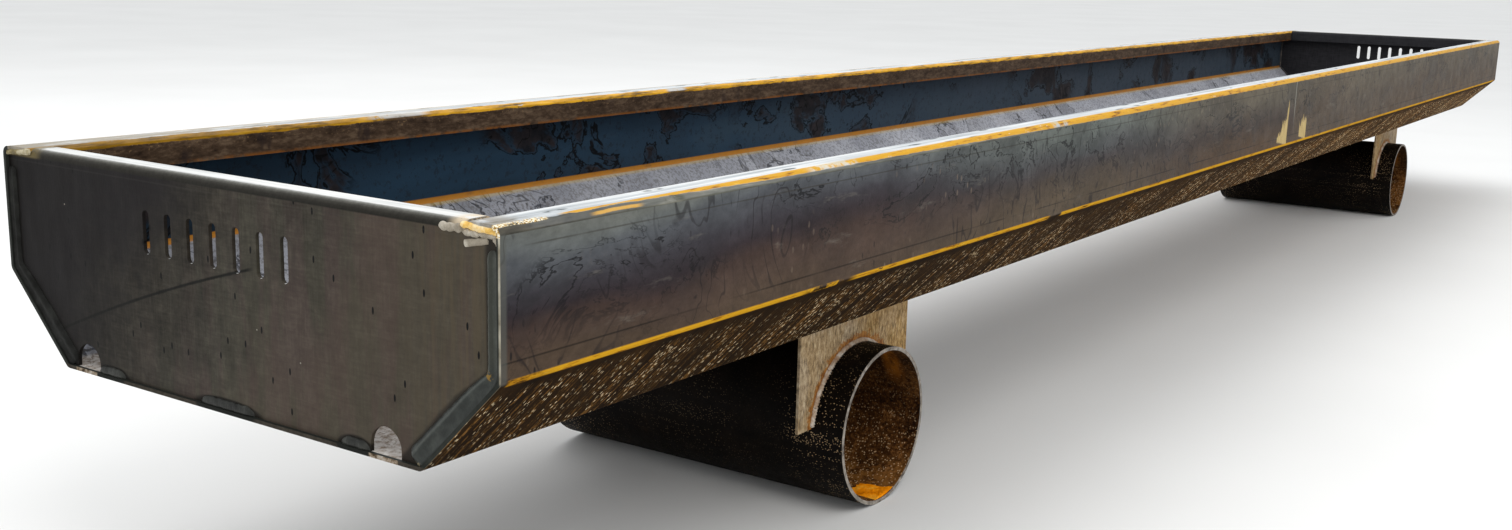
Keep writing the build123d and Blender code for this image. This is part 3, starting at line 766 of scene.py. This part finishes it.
def pipe_finish(name):
    """A black pipe foot: scaly outside, near black partly as painted shade, rusty brown inside with painted
    shade toward the top of the bore, with a bright saw-cut ring.
    """
    centre_x, centre_z, radius = pipe_circle(name)
    mouth_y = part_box(name)[1].y
    f = Finish(name + "_steel")
    dx, dz = f.minus(f.x, centre_x), f.minus(f.z, centre_z)
    bore = f.step(f.length(dx, dz), radius - 0.002, radius - 0.004)
    # The outside: the pipe's own black scale, kept near black as painted shade for the shadow under the
    # trough.
    out = f.ramp(
        f.grain(14, 6, 0.65, 0.3, seed=100), (0.3, (0.0006, 0.0005, 0.0004)), (0.6, (0.0048, 0.003, 0.0018)),
        (0.85, (0.02, 0.012, 0.006)),
    )
    grit = f.any(
        f.flecks((250, 200, 250), 0.29, 0.34, seed=101), f.flecks((360, 280, 360), 0.34, 0.26, seed=102),
    )
    dusty = f.remap(f.patch(0.38, 0.56, 9, 3, seed=103), 0.15, 1.0)
    mouth = f.step(f.wide, HALF_WIDTH - 0.33, mouth_y - 0.02)
    out = f.mix(f.all(grit, dusty, f.remap(mouth, 0.14, 0.85)), out, (0.46, 0.32, 0.18))
    blotch = f.grain((16, 12, 16), 4, 0.6, 0.3, seed=98)
    gravel = f.grain((170, 150, 170), 5, 0.8, seed=104)
    inside = f.ramp(
        f.math("MULTIPLY_ADD", gravel, 0.6, f.all(blotch, 0.4)), (0.38, (0.003, 0.0014, 0.0006)),
        (0.5, (0.05, 0.018, 0.004)), (0.62, (0.21, 0.09, 0.024)),
    )
    # Painted shade: the bore darker toward its top, lighter low down.
    inside = f.shade(inside, f.fade(dz, -radius * 0.5, radius * 0.7, 1.15, 0.5))
    streak = f.all(
        f.band(f.wide, mouth_y - 0.06, mouth_y - 0.03, 0.01), f.step(dx, 0.01, 0.05), f.step(dz, 0.03, 0.08),
    )
    streak = f.all(streak, f.remap(f.patch(0.36, 0.54, (26, 40, 26), seed=105), 0.25, 1.0))
    inside = f.mix(streak, inside, (0.27, 0.088, 0.006), 0.8)
    floor_rust = f.all(f.step(dz, -radius * 0.55, -radius * 0.95), f.patch(0.4, 0.6, 60, seed=106))
    inside = f.mix(floor_rust, inside, (0.24, 0.1, 0.02), 0.6)
    bright = f.flecks((260, 260, 260), 0.42, 0.42, seed=107)
    low_half = f.fade(dz, radius * 0.4, -radius * 0.8, 0.12, 0.85)
    inside = f.mix(f.all(bright, low_half), inside, (0.56, 0.38, 0.21))
    colour = f.mix(bore, out, inside)
    ring = f.step(f.wide, mouth_y - 0.0008, mouth_y - 0.0002)
    ring_colour = f.ramp(f.grain(90, seed=108), (0.3, (0.1, 0.085, 0.072)), (0.7, (0.4, 0.36, 0.31)))
    colour = f.mix(ring, colour, ring_colour)
    rough = f.choose(bore, f.sway(0.45, 0.75, 50, seed=109), 0.85)
    height = f.grain(330, 5, 0.65, seed=110)
    return f.done(colour, rough, height, 0.0005, specular=0.06)


def saddle_finish():
    """Weathered saddle plates: grey toward the trough's end, browner toward its middle, finely streaked;
    painted shade on their inner faces.
    """
    f = Finish("saddle_steel")
    foot_x = -pipe_circle("foot_pipe_left")[0]
    fine = f.grain((200, 90, 80), 6, 0.75, seed=120)
    cloud = f.grain((16, 8, 11), 5, 0.6, 0.5, seed=121)
    grey = f.ramp(fine, (0.34, (0.135, 0.1, 0.062)), (0.5, (0.4, 0.295, 0.18)), (0.66, (0.64, 0.53, 0.37)))
    tan = f.ramp(fine, (0.34, (0.12, 0.066, 0.018)), (0.5, (0.35, 0.21, 0.072)), (0.66, (0.6, 0.42, 0.2)))
    far_half = f.step(f.minus(f.math("ABSOLUTE", f.x), foot_x), 0.07, -0.09)
    share = f.math("MULTIPLY_ADD", far_half, 0.65, f.all(f.step(cloud, 0.42, 0.6), 0.45))
    colour = f.mix(share, grey, tan)
    slate = f.patch(0.54, 0.66, (12, 6, 9), 4, 0.6, seed=119)
    colour = f.mix(slate, colour, (0.17, 0.15, 0.12), 0.45)
    rust = f.patch(0.6, 0.72, 22, 5, 0.65, seed=122)
    colour = f.mix(rust, colour, (0.2, 0.085, 0.025), 0.35)
    top_rust = f.all(f.step(f.z, FLOOR_Z - 0.022, FLOOR_Z - 0.004), f.step(cloud, 0.3, 0.55))
    colour = f.mix(top_rust, colour, (0.2, 0.1, 0.035), 0.5)
    colour = f.mix(
        arc_rust(f), colour, f.ramp(fine, (0.4, (0.2, 0.06, 0.008)), (0.6, (0.46, 0.19, 0.03))), 0.9,
    )
    # Painted shade: the faces toward the middle of the trough take a darker copy of the grey.
    inner = f.step(f.outward, 0.2, -0.2)
    colour = f.mix(inner, colour, f.shade(grey, 0.25))
    sooty = f.patch(0.56, 0.7, (90, 60, 40), 5, 0.7, seed=125)
    colour = f.mix(sooty, colour, (0.045, 0.035, 0.025), 0.55)
    height = f.grain((260, 260, 200), 4, 0.6, seed=123)
    return f.done(colour, f.remap(cloud, 0.55, 0.8), height, 0.0003, specular=0.15)


def arc_rust(f):
    """A ragged orange stain that follows the pipe notch of a saddle."""
    centre_x, centre_z, radius = pipe_circle("foot_pipe_left")
    reach = f.length(f.minus(f.math("ABSOLUTE", f.x), -centre_x), f.minus(f.z, centre_z))
    ragged = f.sway(-0.012, 0.034, 80, 4, 0.7, seed=124)
    return f.step(f.minus(reach, ragged), radius + 0.006, radius + 0.001)


def weld_finish(name, dark, middle, light, rough, seed, corner_marks=False, specular=0.3):
    """Weld metal in three tones, finely speckled. corner_marks adds what shows on the wide front beads, with
    a painted highlight and painted shade.
    """
    f = Finish(name)
    tone = f.grain(45, 5, 0.6, 0.3, seed=seed)
    colour = f.ramp(tone, (0.3, dark), (0.5, middle), (0.72, light))
    if corner_marks:
        # Smooth bead: a painted highlight along a ridge by its inner side, and painted shade in a furrow
        # beside it.
        gap = f.plus(edge_gap(f), f.sway(-0.0022, 0.0022, 14, 3, seed=seed + 4))
        spread = f.step(f.z, BEND_Z + 0.01, BEND_Z - 0.03)
        gap = f.minus(gap, f.remap(spread, 0.0, 0.0035))
        furrow_shade = f.band(gap, 0.0125, 0.017, 0.0012)
        colour = f.mix(f.all(furrow_shade, f.fade(f.z, BEND_Z, BEND_Z + 0.03, 0.15, 0.75)), colour, dark)
        ridge_highlight = f.band(gap, 0.018, 0.0208, 0.0016)
        colour = f.mix(ridge_highlight, colour, f.shade(light, 1.7), 0.6)
        # A rusty star where wall and slope meet, and a bare patch at the bottom corner.
        colour = f.mix(
            f.step(f.z, BEND_Z, BEND_Z + 0.03), colour,
            f.shade(f.mix(0.35, colour, (0.04, 0.04, 0.03)), 1.45),
        )
        star = corner_spot(f, HALF_WIDTH - 0.0185, BEND_Z + 0.007, 0.0042, seed + 2)
        colour = f.mix(star, colour, (0.24, 0.135, 0.015), 0.8)
        patch = corner_spot(f, FLOOR_HALF - 0.008, FLOOR_Z + 0.005, 0.005, seed + 3)
        colour = f.mix(patch, colour, (0.3, 0.25, 0.15), 0.6)
    fine = f.grain(420, 3, 0.6, seed=seed + 1)
    colour = f.shade(colour, f.remap(fine, 0.75, 1.2))
    return f.done(colour, rough, fine, 0.00025, specular=specular)


def corner_spot(f, wide, z, radius, seed):
    """A ragged spot at one place on the end faces, the same on both sides."""
    reach = f.length(f.minus(f.wide, wide), f.minus(f.z, z))
    return f.step(f.plus(reach, f.sway(-0.01, 0.01, 190, 3, seed=seed)), radius, radius * 0.6)


def paint_nodes():
    """Gives each CAD node that stays its finish."""
    shell, ends, saddles = shell_finish(), end_finish(), saddle_finish()
    for name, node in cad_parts.items():
        if name.startswith(("trough_shell", "splice")):
            finish = shell
        elif name.startswith("end_plate"):
            finish = ends
        elif name.startswith("saddle"):
            finish = saddles
        elif name.startswith("foot_pipe"):
            finish = pipe_finish(name)
        else:
            continue
        for slot in node.material_slots:
            slot.material = finish


# ---- Weld beads ----
CROWN = [(math.cos(math.pi * k / 10), math.sin(math.pi * k / 10)) for k in range(11)]
SHELF = [
    (-1.0, 0.0), (-1.0, 0.84), (-0.7, 0.7), (-0.3, 0.62), (0.0, 0.72), (0.22, 0.92), (0.4, 1.0),
    (0.58, 0.95), (0.76, 0.7), (0.92, 0.34), (1.0, 0.0),
]
FILLET = [(1.0, 0.0), (0.86, 0.26), (0.72, 0.48), (0.6, 0.6), (0.48, 0.72), (0.26, 0.86), (0.0, 1.0)]
LEDGE = [
    (1.0, 0.0), (0.97, 0.3), (0.88, 0.6), (0.74, 0.84), (0.55, 0.97), (0.3, 1.0), (0.0, 0.96), (0.0, 0.0),
]
SINK = 0.0004                # a bead's base lies this far inside the metal under it
SHY = Vector((0.0001, 0.0001, 0.0001))       # no bead comes nearer than this to the overall box
INNER_LOW, INNER_HIGH = LOW + SHY, HIGH - SHY
RIM_BAND = ((0.3985, 0.0044), (0.4125, 0.0054), (0.427, 0.007), (0.4437, 0.0076), (0.453, 0.0084),
            (0.4556, 0.0104))                # distance from the middle, and depth below the rim top


def resample(points, spacing, smooth=0.0):
    """Evenly spaced points along a line through the given ones, its corners rounded off."""
    dense = []
    for start, end in zip(points, points[1:]):
        count = max(2, int((end - start).length / spacing))
        dense += [start.lerp(end, k / count) for k in range(count)]
    dense.append(points[-1])
    for _ in range(int((smooth / spacing) ** 2)):
        middle = [(a + b * 2 + c) / 4 for a, b, c in zip(dense, dense[1:], dense[2:])]
        dense = [dense[0], *middle, dense[-1]]
    return dense


def make_mesh(name, vertices, faces, finish, replaced, slot="weld_metal"):
    """A smooth-shaded piece that rides on the bunk and stands for the given CAD nodes."""
    mesh = bpy.data.meshes.new(name)
    mesh.from_pydata(vertices, [], faces)
    mesh.validate()
    mesh.polygons.foreach_set("use_smooth", [True] * len(mesh.polygons))
    mesh.materials.append(finish)
    piece = bpy.data.objects.new(name, mesh)
    bpy.context.scene.collection.objects.link(piece)
    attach(piece, "root")
    if replaced:
        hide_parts(*replaced)
    return piece


def bead_mesh(path, first, second, profile, width, height, ripple, pitch, lump, round_end, seed):
    """Vertices and faces of one bead. first and second give the two profile directions at a point."""
    vertices, faces = [], []
    ring = len(profile)
    total = sum((b - a).length for a, b in zip(path, path[1:]))
    travelled = 0.0
    for number, point in enumerate(path):
        if number:
            travelled += (point - path[number - 1]).length
        share = travelled / total
        before, after = path[max(0, number - 1)], path[min(len(path) - 1, number + 1)]
        tangent = (after - before).normalized()
        across, out = first(point, tangent), second(point, tangent)
        left = min(travelled, total - travelled) / round_end
        taper = math.sqrt(max(0.0004, 1 - (1 - min(1.0, left)) ** 2))
        wide, tall = width(share) * taper, height(share) * taper
        for u, v in profile:
            wave = math.sin(2 * math.pi * (travelled + 0.35 * pitch * u * u) / pitch)
            bumpy = noise.noise(point * 160 + Vector((u, v, seed)) * 1.3) * lump
            reach = 1 + ripple * wave * v + bumpy
            spot = point + across * (u * wide * (1 + bumpy)) + out * (v * tall * reach - SINK)
            vertices.append(
                Vector([max(low, min(high, part)) for part, low, high in zip(spot, INNER_LOW, INNER_HIGH)])
            )
    for number in range(len(path) - 1):
        for k in range(ring):
            a = number * ring + k
            b = number * ring + (k + 1) % ring
            faces.append((a, b, b + ring, a + ring))
    faces.append(tuple(range(ring)))
    faces.append(tuple(reversed(range(len(vertices) - ring, len(vertices)))))
    return vertices, faces


def bead(name, path, first, second, finish, replaced=(), profile=CROWN, width=0.007, height=0.004,
         ripple=0.06, pitch=0.0032, lump=0.1, round_end=0.008, spacing=0.0009, smooth=0.0, seed=0):
    """One weld bead along a path."""
    wide = width if callable(width) else (lambda share: width)
    tall = height if callable(height) else (lambda share: height)
    points = resample([Vector(p) for p in path], spacing, smooth)
    parts = bead_mesh(points, first, second, profile, wide, tall, ripple, pitch, lump, round_end, seed)
    return make_mesh(name, *parts, finish, replaced)


def fixed(*direction):
    """A direction that is the same all along a bead."""
    vector = Vector(direction)
    return lambda point, tangent: vector


def beside(turn):
    """The direction square to a bead and to the X axis, on the side that turn, 1 or -1, gives."""
    return lambda point, tangent: tangent.cross(Vector((turn, 0, 0)))


def wall_corner(offset):
    """(y, z) of the corner between wall and slope, moved inward from the outside face."""
    return HALF_WIDTH - offset, BEND_Z + MITRE * offset


def floor_corner(offset):
    """(y, z) of the corner between slope and floor, moved inward from the outside face."""
    return FLOOR_HALF - MITRE * offset, FLOOR_Z + offset


def end_beads(front_finish, shaded_rear_finish):
    """The wide smooth bead down the wall and slope, outside each end plate; the rear beads take a darker
    copy of the grey, painted shade.
    """
    half = 0.0086                # half its width on the wall
    below_rim = 0.0268           # it starts this far below the rim top
    past_foot = 0.011            # and goes this far past the corner of slope and floor
    wall_y, wall_z = wall_corner(PLATE + half)
    foot_y, foot_z = floor_corner(PLATE + half * 1.45)
    run = Vector((foot_y - wall_y, foot_z - wall_z))
    stop = run * (1 + past_foot / run.length)
    for corner, end, side in CORNERS:
        x = end * FACE_X
        path = [
            (x, side * wall_y, RIM_Z - below_rim), (x, side * wall_y, wall_z),
            (x, side * (wall_y + stop.x), wall_z + stop.y),
        ]
        name = "end_weld_" + corner
        bead(
            name + "_bead", path, beside(side), fixed(end, 0, 0), front_finish if side < 0 else shaded_rear_finish,
            [name], profile=SHELF, width=lambda share: half * (0.94 + 0.58 * smooth_step(share, 0.38, 0.62)),
            height=0.0046, ripple=0.0, pitch=0.007, lump=0.06, round_end=0.009, smooth=0.008,
            seed=end * 3 + side,
        )


def smooth_step(value, start, end):
    """0 before start and 1 past end, smooth between them."""
    share = min(1.0, max(0.0, (value - start) / (end - start)))
    return share * share * (3 - 2 * share)


def inner_beads(finish):
    """Small rippled fillets in the inside corners of the end plates."""
    wall_y, wall_z = wall_corner(PLATE)
    foot_y, foot_z = floor_corner(PLATE)
    top = RIM_Z - LIP_DROP - 0.008
    for corner, end, side in CORNERS:
        x = end * (FACE_X - PLATE)
        path = [(x, side * wall_y, top), (x, side * wall_y, wall_z), (x, side * foot_y, foot_z)]
        name = "inner_weld_" + corner
        bead(
            name + "_bead", path, beside(side), fixed(-end, 0, 0), finish, [name], profile=FILLET,
            width=0.0058, height=0.0058, ripple=0.1, pitch=0.0036, round_end=0.006, smooth=0.004,
            seed=end * 5 + side,
        )


def bottom_beads(finish):
    """Lens-shaped stitch welds along the foot of each end plate."""
    for name in sorted(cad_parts):
        if not name.startswith("bottom_weld"):
            continue
        low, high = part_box(name)
        end = 1 if low.x > 0 else -1
        path = [(end * FACE_X, low.y + 0.001, low.z), (end * FACE_X, high.y - 0.001, low.z)]
        reach = high.z - low.z
        bead(
            name + "_bead", path, fixed(0, 0, 1), fixed(end, 0, 0), finish, [name], profile=LEDGE,
            width=reach, height=0.0044, ripple=0.02, pitch=0.0045, lump=0.1,
            round_end=min(0.016, (high.y - low.y) * 0.36), seed=end * 7,
        )


def rim_beads(gold, beige, olive):
    """The lumpy welds at the four corners of the rim: a golden band over scalloped beads in front,
    and one olive lump behind."""
    for corner, end, side in CORNERS:
        name = "rim_weld_" + corner
        front = side < 0
        seed = end * 11 + side * 2
        edge = end * (FACE_X + 0.0005)
        bead(
            name + "_band", [(edge, side * wide, RIM_Z - drop) for wide, drop in RIM_BAND], beside(1),
            fixed(end, 0, 0), gold if front else olive, [name], width=0.0037 if front else 0.004,
            height=0.0038, ripple=0.08, pitch=0.0062, lump=0.26, round_end=0.003, spacing=0.0007,
            smooth=0.003, seed=seed,
        )
        if front:
            scalloped_beads(name, end, side, seed, beige)


def scalloped_beads(name, end, side, seed, finish):
    """Three scalloped beads under the band of a front corner, and a run that trails down from them."""
    x = end * FACE_X
    lobes = (
        ("a", 0.365, 0.4, 0.0102, 0.0098, 0.0054, 3), ("b", 0.4, 0.4245, 0.0124, 0.0134, 0.0042, 2),
        ("c", 0.4235, 0.451, 0.0122, 0.0128, 0.0036, 2),
    )
    for tag, start, stop, start_drop, stop_drop, half, count in lobes:
        bead(
            f"{name}_{tag}", [(x, side * start, RIM_Z - start_drop), (x, side * stop, RIM_Z - stop_drop)],
            fixed(0, 0, 1), fixed(end, 0, 0), finish,
            width=lambda share: half * (0.72 + 0.28 * abs(math.sin(math.pi * count * share))),
            height=0.0036, ripple=0.12, pitch=0.005, lump=0.22, round_end=0.006, spacing=0.0006,
            seed=seed + start * 40,
        )
    trail = ((0.4445, 0.014), (0.45, 0.018), (0.4535, 0.029))
    run = [(x, side * wide, RIM_Z - drop) for wide, drop in trail]
    bead(
        name + "_run", run, beside(1), fixed(end, 0, 0), finish,
        width=lambda share: 0.004 * (1 - 0.72 * share), height=0.0034, ripple=0.05, lump=0.18,
        round_end=0.003, spacing=0.0007, smooth=0.003, seed=seed + 9,
    )


def patch_bead(finish):
    """The short tilted weld under the rim, by the near front corner."""
    low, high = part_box("patch_weld_left")
    half = 0.004
    rise = math.tan(PATCH_TILT) * (high.y - low.y) / 2
    middle = (low.z + high.z) / 2
    path = [(-FACE_X, low.y + half * 0.2, middle + rise), (-FACE_X, high.y - half * 0.2, middle - rise)]
    bead(
        "patch_weld_left_bead", path, beside(1), fixed(-1, 0, 0), finish, ["patch_weld_left"],
        width=lambda share: half * (0.92 + 0.16 * share), height=0.0024, ripple=0.05, pitch=0.003,
        lump=0.12, round_end=0.0018, spacing=0.0006, seed=4,
    )


def foot_beads(pale, rusty):
    """Fillets round the pipes and under the floor, outside each saddle plate."""
    steps = 60
    for corner, _, side in CORNERS:
        centre_x, centre_z, radius = pipe_circle("foot_pipe_" + corner.split("_")[0])
        centre = Vector((centre_x, 0, centre_z))
        low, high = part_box("saddle_" + corner)
        face = high.y if side > 0 else low.y
        start = math.asin((low.z - centre.z) / radius) + 0.01
        angles = [start + (math.pi - 2 * start) * k / steps for k in range(steps + 1)]
        path = [(centre.x + radius * math.cos(a), face, centre.z + radius * math.sin(a)) for a in angles]
        bead(
            f"pipe_weld_{corner}_bead", path,
            lambda point, tangent: Vector((point.x - centre.x, 0, point.z - centre.z)).normalized(),
            fixed(0, side, 0), pale, ["pipe_weld_" + corner], profile=FILLET, width=0.006, height=0.006,
            ripple=0.12, pitch=0.0052, lump=0.24, round_end=0.006, spacing=0.0012, seed=side * 13,
        )
        run = [(low.x + 0.002, face, FLOOR_Z), (high.x - 0.002, face, FLOOR_Z)]
        bead(
            f"floor_weld_{corner}_bead", run, fixed(0, 0, -1), fixed(0, side, 0), rusty,
            ["floor_weld_" + corner], profile=FILLET, width=0.006, height=0.006, ripple=0.1, pitch=0.0048,
            lump=0.16, round_end=0.006, spacing=0.0012, seed=side * 17,
        )


def rust_powder(finish):
    """A low heap of orange rust lying in the near mouth of the near foot."""
    mouth_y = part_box("foot_pipe_left")[0].y
    centre_x, centre_z, radius = pipe_circle("foot_pipe_left")
    bore = radius - PIPE_WALL
    rows, columns, depth, half_angle = 30, 44, 0.066, 0.25
    vertices, faces = [], []
    for layer in (1, 0):
        for i in range(rows + 1):
            for j in range(columns + 1):
                along, turn = i / rows, 2 * j / columns - 1
                ragged = 1 + 0.22 * noise.noise(Vector((along * 3, turn * 3, 1.7)))
                fall = max(0.0, 1 - (turn * ragged) ** 2) * max(0.0, 1 - (along * ragged) ** 3)
                pile = 0.0055 * fall * (0.8 + 0.5 * noise.noise(Vector((along * 14, turn * 14, 4.2))))
                inner = bore + 0.001 - layer * (0.0004 + max(0.0, pile))
                angle = -math.pi / 2 + 0.1 + turn * half_angle * (1 - 0.35 * along)
                y = mouth_y + 0.002 + along * depth
                vertices.append((centre_x + inner * math.cos(angle), y, centre_z + inner * math.sin(angle)))
    size = (rows + 1) * (columns + 1)
    for i in range(rows):
        for j in range(columns):
            a = i * (columns + 1) + j
            quad = (a, a + 1, a + columns + 2, a + columns + 1)
            faces.append(quad)
            faces.append(tuple(v + size for v in reversed(quad)))
    rim = list(range(columns + 1))
    rim += [(i + 1) * (columns + 1) - 1 for i in range(1, rows + 1)]
    rim += [rows * (columns + 1) + j for j in range(columns - 1, -1, -1)]
    rim += [i * (columns + 1) for i in range(rows - 1, 0, -1)]
    for a, b in zip(rim, rim[1:] + rim[:1]):
        faces.append((b, a, a + size, b + size))
    make_mesh("rust_powder", vertices, faces, finish, [], "pipe_steel")


def build_welds():
    """Every weld bead but the flush seam, and the heap of rust powder."""
    smooth = weld_finish(
        "weld_grey", (0.012, 0.014, 0.012), (0.024, 0.028, 0.025), (0.046, 0.051, 0.045), 0.36, 140, True,
        0.18,
    )
    # Painted shade: a darker copy of the grey weld for the rear end beads.
    rear = weld_finish(
        "weld_grey_painted_shade", (0.006, 0.006, 0.005), (0.012, 0.012, 0.011), (0.026, 0.027, 0.024), 0.6, 154,
        specular=0.08,
    )
    sooty = weld_finish(
        "weld_sooty", (0.009, 0.009, 0.008), (0.021, 0.022, 0.019), (0.048, 0.049, 0.042), 0.42, 156,
        specular=0.2,
    )
    gold = weld_finish("weld_gold", (0.46, 0.22, 0.03), (0.8, 0.5, 0.12), (0.92, 0.82, 0.58), 0.6, 142)
    beige = weld_finish("weld_beige", (0.16, 0.135, 0.1), (0.3, 0.26, 0.2), (0.52, 0.48, 0.4), 0.6, 144)
    olive = weld_finish("weld_olive", (0.07, 0.052, 0.018), (0.24, 0.19, 0.085), (0.62, 0.56, 0.4), 0.6, 158)
    pale = weld_finish("weld_pale", (0.2, 0.07, 0.014), (0.46, 0.34, 0.24), (0.74, 0.7, 0.63), 0.65, 146)
    rusty = weld_finish(
        "weld_rusty", (0.05, 0.028, 0.014), (0.12, 0.072, 0.038), (0.24, 0.16, 0.09), 0.75, 148,
    )
    dark = weld_finish("weld_dark", (0.02, 0.019, 0.02), (0.05, 0.046, 0.044), (0.12, 0.1, 0.085), 0.55, 150)
    powder = weld_finish(
        "rust_orange", (0.56, 0.15, 0.002), (1.0, 0.31, 0.004), (1.0, 0.52, 0.05), 0.95, 152, specular=0.0,
    )
    end_beads(smooth, rear)
    inner_beads(dark)
    bottom_beads(sooty)
    rim_beads(gold, beige, olive)
    patch_bead(beige)
    foot_beads(pale, rusty)
    rust_powder(powder)


# ---- Floor, light and camera ----
def build_floor():
    """A plain pale studio floor under the bunk."""
    f = Finish("studio_floor")
    tone = f.ramp(f.grain(0.8, 3, seed=160), (0.3, (0.82, 0.82, 0.81)), (0.7, (0.86, 0.86, 0.85)))
    f.done(tone, 0.8, f.grain(90, 2, seed=161), 0.0001, specular=0.1)
    size, steps = 90.0, 18
    points = [
        (
            size * (2 * i / steps - 1), size * (2 * j / steps - 1), 0.0,
        ) for i in range(steps + 1) for j in range(steps + 1)
    ]
    faces = [
        (
            i * (steps + 1) + j, (i + 1) * (steps + 1) + j, (i + 1) * (steps + 1) + j + 1,
            i * (steps + 1) + j + 1,
        ) for i in range(steps) for j in range(steps)
    ]
    mesh = bpy.data.meshes.new("studio_floor")
    mesh.from_pydata(points, [], faces)
    mesh.materials.append(f.material)
    floor = bpy.data.objects.new("studio_floor", mesh)
    bpy.context.scene.collection.objects.link(floor)


def area_light(name, place, target, size, power, colour):
    """A round soft light at place, turned toward target."""
    light = bpy.data.lights.new(name, "AREA")
    light.shape = "DISK"
    light.size = size
    light.energy = power
    light.color = colour
    lamp = bpy.data.objects.new(name, light)
    bpy.context.scene.collection.objects.link(lamp)
    lamp.location = place
    lamp.rotation_mode = "QUATERNION"
    lamp.rotation_quaternion = (Vector(target) - Vector(place)).to_track_quat("-Z", "Y")


def build_light():
    """Even studio light: a bright world and two wide soft lights."""
    world = bpy.data.worlds.new("studio")
    bpy.context.scene.world = world
    world.use_nodes = True
    background = world.node_tree.nodes["Background"]
    background.inputs["Color"].default_value = (0.97, 0.985, 1.0, 1)
    background.inputs["Strength"].default_value = 0.92
    area_light("key", (-5.0, -5.5, 7.0), (-0.5, 0, 0.4), 5.0, 240, (1.0, 0.98, 0.95))
    area_light("over", (0.0, 2.5, 7.5), (0, 0, 0.5), 7.0, 260, (1.0, 1.0, 1.0))
    bpy.context.scene.view_settings.view_transform = "Standard"
    bpy.context.scene.view_settings.look = "None"


def build_camera():
    """The photograph's view, from outside the near front corner and a little above the rim."""
    yaw, pitch, roll = math.radians(34.051), math.radians(-11.548), math.radians(1.522)
    ahead = Vector((math.cos(pitch) * math.cos(yaw), math.cos(pitch) * math.sin(yaw), math.sin(pitch)))
    level = Vector((math.sin(yaw), -math.cos(yaw), 0))
    up = level.cross(ahead)
    right = level * math.cos(roll) + up * math.sin(roll)
    above = up * math.cos(roll) - level * math.sin(roll)
    place = Matrix((right, above, -ahead)).transposed().to_4x4()
    # Its distance outside the near end and the front, and its height above the ground.
    place.translation = Vector((LOW.x - 1.11615, LOW.y - 1.07078, LOW.z + 0.91691))
    data = bpy.data.cameras.new("camera")
    data.sensor_width = 36.0
    data.lens = 36.217
    data.clip_end = 200.0
    camera = bpy.data.objects.new("camera", data)
    bpy.context.scene.collection.objects.link(camera)
    camera.matrix_world = place
    bpy.context.scene.camera = camera


paint_nodes()
build_welds()
build_floor()
build_light()
build_camera()
